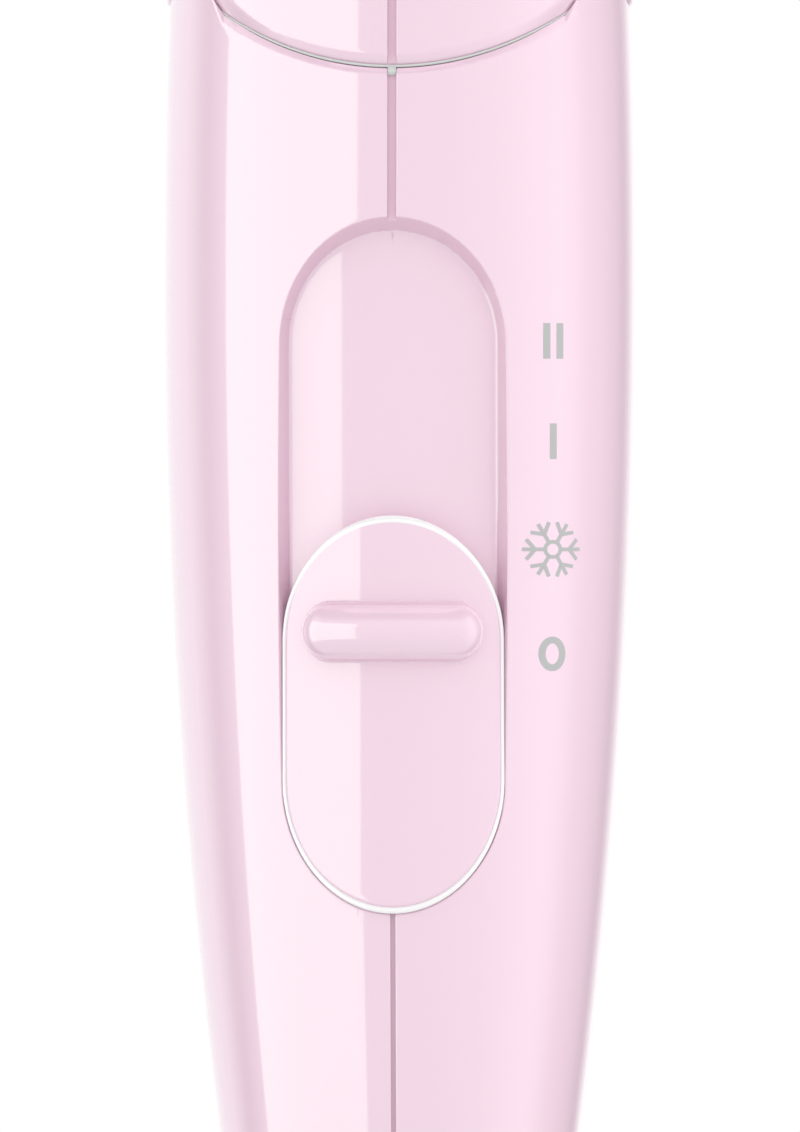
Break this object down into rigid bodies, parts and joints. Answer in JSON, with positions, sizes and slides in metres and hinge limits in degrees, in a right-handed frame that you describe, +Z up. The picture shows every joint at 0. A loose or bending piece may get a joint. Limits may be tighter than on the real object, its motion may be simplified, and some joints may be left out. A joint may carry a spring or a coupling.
{
  "type": "hair dryer",
  "caption": "Folding hair dryer with a slide switch in the handle, a barrel that folds down, a spinning fan and a turning concentrator nozzle.",
  "frame": {"origin": "centre of the cord gland's mouth in the handle's foot", "axes": "+Z up the handle, +Y the way the air leaves (the slide switch faces -Y), +X across, along the hinge pins"},
  "size_m": [0.066, 0.1694, 0.2135],
  "materials": {
    "shell_pink": "high gloss, injection moulded",
    "slider_pink": "high gloss, injection moulded",
    "nozzle_pink": "gloss",
    "trim_pale": "satin",
    "inner_pale": "matte",
    "inner_dark": "matte",
    "steel": "plain",
    "contact_brass": "plain",
    "mica": "mineral sheet, slightly pearly",
    "heater_wire": "oxidised resistance wire",
    "board_green": "circuit board"
  },
  "bodies": {
    "handle": {"handle_shell_left": "shell_pink", "handle_shell_right": "shell_pink", "hinge_pins": "steel", "hinge_caps": "shell_pink", "switch_body": "inner_dark", "switch_contacts": "contact_brass", "detent_spring": "steel", "cord_gland": "trim_pale", "cord_clamp": "inner_pale", "cord_clamp_screws": "steel", "hanging_loop": "trim_pale", "handle_screws": "steel"},
    "switch": {"slider_cap": "slider_pink", "slider_carriage": "inner_pale"},
    "barrel": {"barrel_shell_left": "shell_pink", "barrel_shell_right": "shell_pink", "barrel_screws": "steel", "inlet_grille": "trim_pale", "inlet_filter": "inner_dark", "outlet_collar": "trim_pale", "outlet_grille": "inner_dark", "heat_sleeve": "mica", "heater_frame": "mica", "heater_coils": "heater_wire", "thermostat": "inner_dark", "thermal_fuse": "steel", "fan_duct": "inner_dark", "motor_can": "steel", "diode_board": "board_green"},
    "fan": {"motor_shaft": "steel", "fan_impeller": "inner_dark"},
    "nozzle": {"concentrator_nozzle": "nozzle_pink"}
  },
  "joints": [
    {"name": "fold_joint", "type": "hinge", "parent": "handle", "child": "barrel", "pos_m": [0, 0, 0.126], "axis": [-1, 0, 0], "range_deg": [0, 90]},
    {"name": "slider_travel", "type": "slide", "parent": "handle", "child": "switch", "axis": [0, -0.0436, 0.999], "range_m": [0, 0.024]},
    {"name": "fan_spin", "type": "hinge", "parent": "barrel", "child": "fan", "pos_m": [0, -0.02, 0.1805], "axis": [0, 1, 0], "continuous": true},
    {"name": "nozzle_turn", "type": "hinge", "parent": "barrel", "child": "nozzle", "pos_m": [0, 0.085, 0.1805], "axis": [0, 1, 0], "continuous": true}
  ]
}
